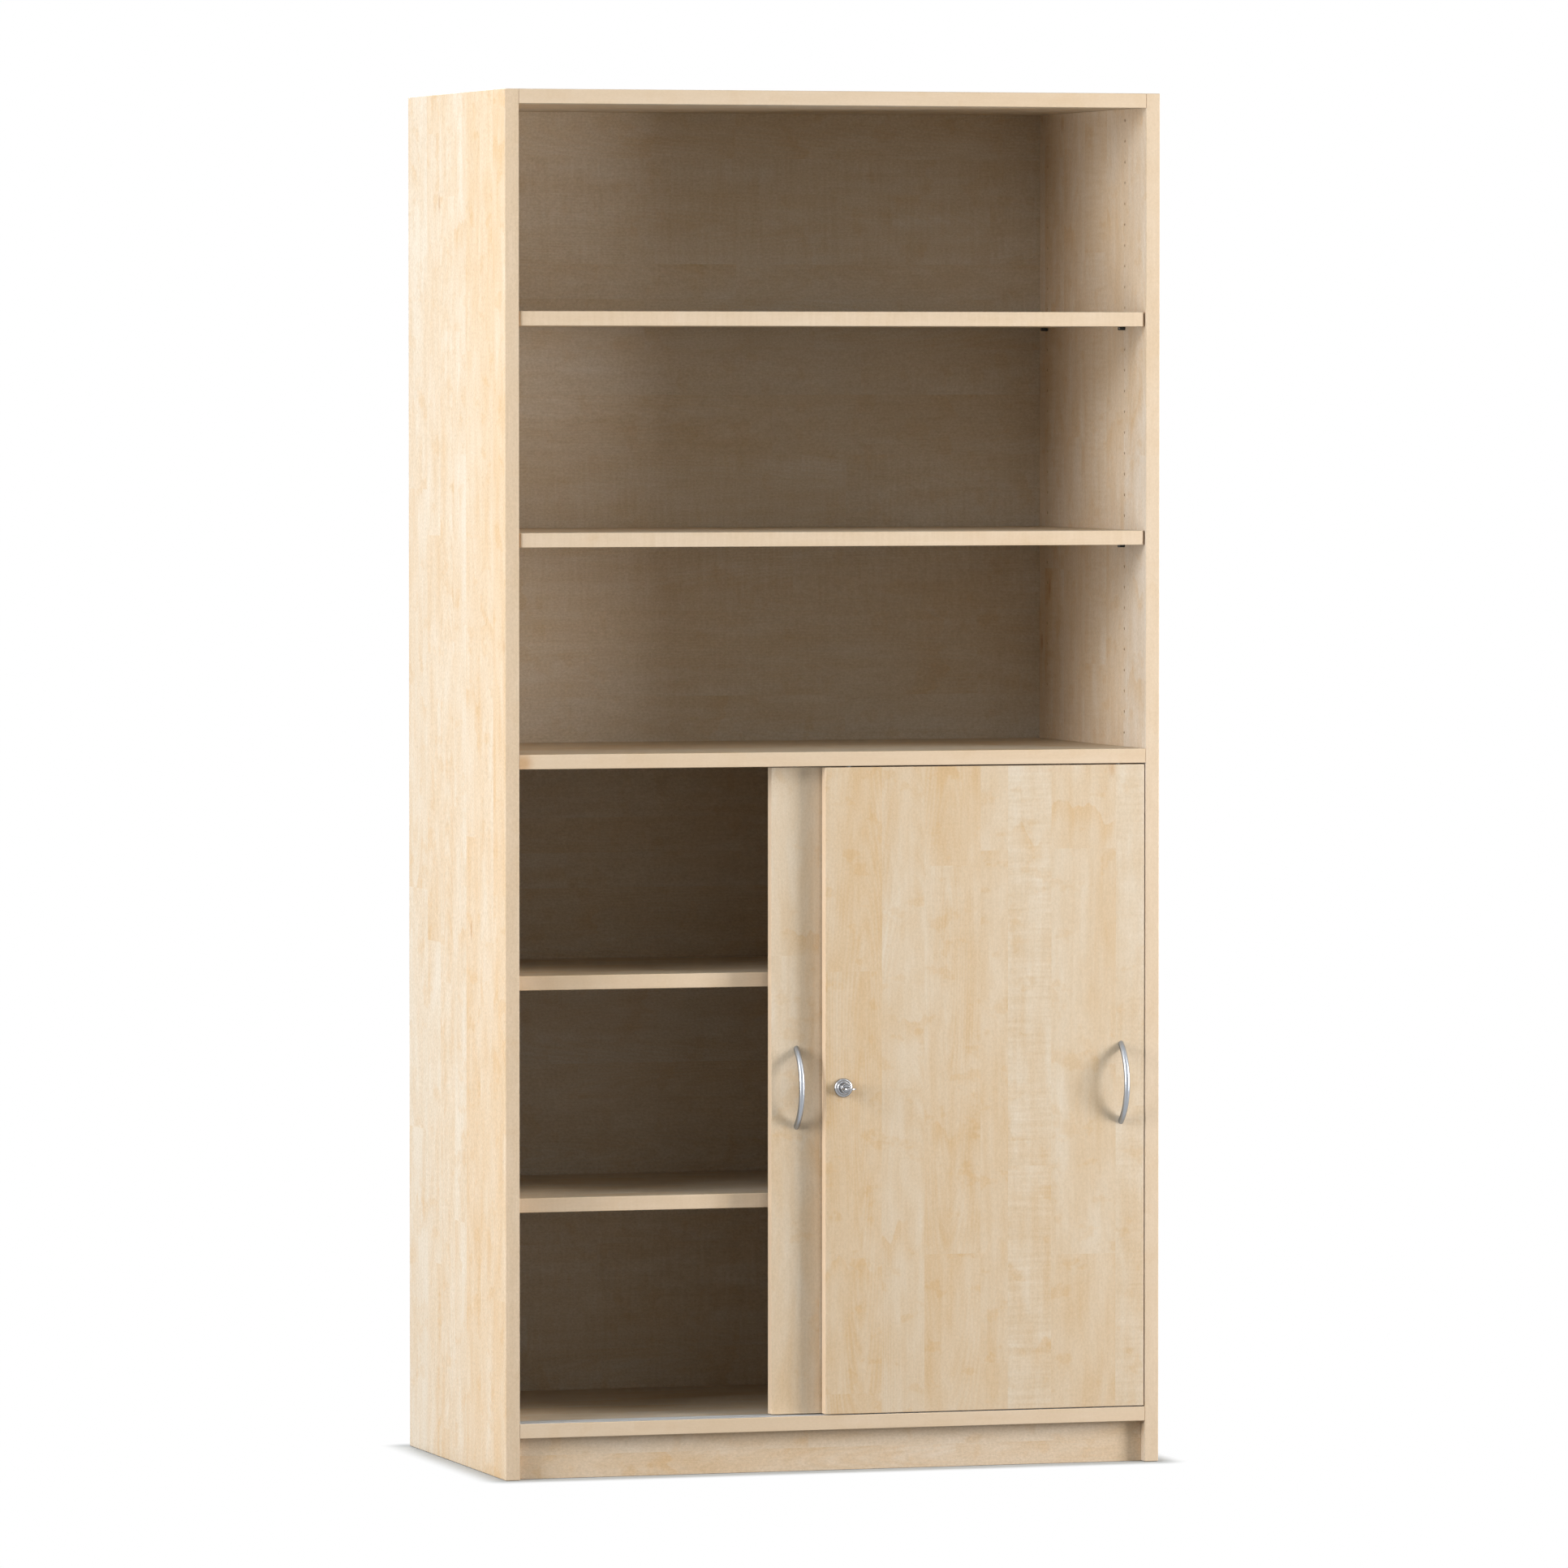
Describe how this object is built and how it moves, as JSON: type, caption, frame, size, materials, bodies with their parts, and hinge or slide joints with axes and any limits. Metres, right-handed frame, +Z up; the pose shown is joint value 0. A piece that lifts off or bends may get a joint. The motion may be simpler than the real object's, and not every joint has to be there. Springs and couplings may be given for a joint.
{
  "type": "sliding door cabinet",
  "caption": "Tall maple-faced board cabinet: open compartments on adjustable shelves above, and a lower section closed by bypass sliding doors with bow handles and a push lock.",
  "frame": {"origin": "on the floor, in the middle of the box around the whole object, which includes the key in front", "axes": "+X to the right as seen from the front, +Y to the back, +Z up"},
  "size_m": [1.04, 0.608, 2.1],
  "materials": {
    "maple_board": "satin maple decor on chipboard",
    "track_aluminium": "satin anodised",
    "handle_metal": "satin",
    "zinc_steel": "zinc plated",
    "lock_nickel": "nickel plated, satin to bright",
    "grey_nylon": "moulded",
    "pin_plastic": "moulded"
  },
  "bodies": {
    "cabinet": {"left_side": "maple_board", "right_side": "maple_board", "top_panel": "maple_board", "middle_panel": "maple_board", "bottom_panel": "maple_board", "plinth": "maple_board", "back_panel": "maple_board", "open_shelf_upper": "maple_board", "open_shelf_lower": "maple_board", "door_shelf_upper": "maple_board", "door_shelf_lower": "maple_board", "open_shelf_upper_pin_left_front": "pin_plastic", "open_shelf_upper_pin_left_rear": "pin_plastic", "open_shelf_upper_pin_right_front": "pin_plastic", "open_shelf_upper_pin_right_rear": "pin_plastic", "open_shelf_lower_pin_left_front": "pin_plastic", "open_shelf_lower_pin_left_rear": "pin_plastic", "open_shelf_lower_pin_right_front": "pin_plastic", "open_shelf_lower_pin_right_rear": "pin_plastic", "door_shelf_upper_pin_left_front": "pin_plastic", "door_shelf_upper_pin_left_rear": "pin_plastic", "door_shelf_upper_pin_right_front": "pin_plastic", "door_shelf_upper_pin_right_rear": "pin_plastic", "door_shelf_lower_pin_left_front": "pin_plastic", "door_shelf_lower_pin_left_rear": "pin_plastic", "door_shelf_lower_pin_right_front": "pin_plastic", "door_shelf_lower_pin_right_rear": "pin_plastic", "bottom_track": "track_aluminium", "top_track": "track_aluminium"},
    "front_door": {"front_door": "maple_board", "front_handle": "handle_metal", "front_handle_screw_upper": "zinc_steel", "front_handle_screw_lower": "zinc_steel", "front_door_roller_left_housing": "grey_nylon", "front_door_roller_right_housing": "grey_nylon", "front_door_roller_left_axle": "zinc_steel", "front_door_roller_right_axle": "zinc_steel", "front_door_guide_left": "grey_nylon", "front_door_guide_right": "grey_nylon", "lock_case": "zinc_steel", "lock_rosette": "lock_nickel", "lock_spring": "zinc_steel"},
    "rear_door": {"rear_door": "maple_board", "rear_handle": "handle_metal", "rear_handle_screw_upper": "zinc_steel", "rear_handle_screw_lower": "zinc_steel", "rear_door_roller_left_housing": "grey_nylon", "rear_door_roller_right_housing": "grey_nylon", "rear_door_roller_left_axle": "zinc_steel", "rear_door_roller_right_axle": "zinc_steel", "rear_door_guide_left": "grey_nylon", "rear_door_guide_right": "grey_nylon", "strike_bush": "zinc_steel"},
    "front_door_wheel_left": {"front_door_roller_left_wheel": "grey_nylon"},
    "front_door_wheel_right": {"front_door_roller_right_wheel": "grey_nylon"},
    "rear_door_wheel_left": {"rear_door_roller_left_wheel": "grey_nylon"},
    "rear_door_wheel_right": {"rear_door_roller_right_wheel": "grey_nylon"},
    "lock_cylinder": {"lock_cylinder": "lock_nickel"},
    "lock_plug": {"lock_plug": "lock_nickel"},
    "lock_key": {"lock_key": "lock_nickel"}
  },
  "joints": [
    {"name": "rear_door_slide", "type": "slide", "parent": "cabinet", "child": "rear_door", "axis": [1, 0, 0], "range_m": [-0.4023, 0.034]},
    {"name": "front_door_slide", "type": "slide", "parent": "cabinet", "child": "front_door", "axis": [1, 0, 0], "range_m": [-0.034, 0]},
    {"name": "front_wheel_left_roll", "type": "hinge", "parent": "front_door", "child": "front_door_wheel_left", "pos_m": [0.055, -0.2525, 0.0908], "axis": [0, 1, 0], "continuous": true},
    {"name": "front_wheel_right_roll", "type": "hinge", "parent": "front_door", "child": "front_door_wheel_right", "pos_m": [0.4265, -0.2525, 0.0908], "axis": [0, 1, 0], "continuous": true},
    {"name": "rear_wheel_left_roll", "type": "hinge", "parent": "rear_door", "child": "rear_door_wheel_left", "pos_m": [-0.0242, -0.2295, 0.0908], "axis": [0, 1, 0], "continuous": true},
    {"name": "rear_wheel_right_roll", "type": "hinge", "parent": "rear_door", "child": "rear_door_wheel_right", "pos_m": [0.3623, -0.2295, 0.0908], "axis": [0, 1, 0], "continuous": true},
    {"name": "lock_push", "type": "slide", "parent": "front_door", "child": "lock_cylinder", "axis": [0, 1, 0], "range_m": [0, 0.0035], "stiffness_N_per_m": 500, "springref_m": -0.004, "deforming": ["lock_spring"]},
    {"name": "lock_turn", "type": "hinge", "parent": "lock_cylinder", "child": "lock_plug", "pos_m": [0.0133, -0.262, 0.58475], "axis": [0, 1, 0], "range_deg": [0, 90]},
    {"name": "key_pull", "type": "slide", "parent": "lock_plug", "child": "lock_key", "axis": [0, -1, 0], "range_m": [0, 0.02]}
  ],
  "couplings": [
    {"joint": "front_wheel_left_roll", "follows": "front_door_slide", "rad_per_m": 83.333},
    {"joint": "front_wheel_right_roll", "follows": "front_door_slide", "rad_per_m": 83.333},
    {"joint": "rear_wheel_left_roll", "follows": "rear_door_slide", "rad_per_m": 83.333},
    {"joint": "rear_wheel_right_roll", "follows": "rear_door_slide", "rad_per_m": 83.333}
  ]
}
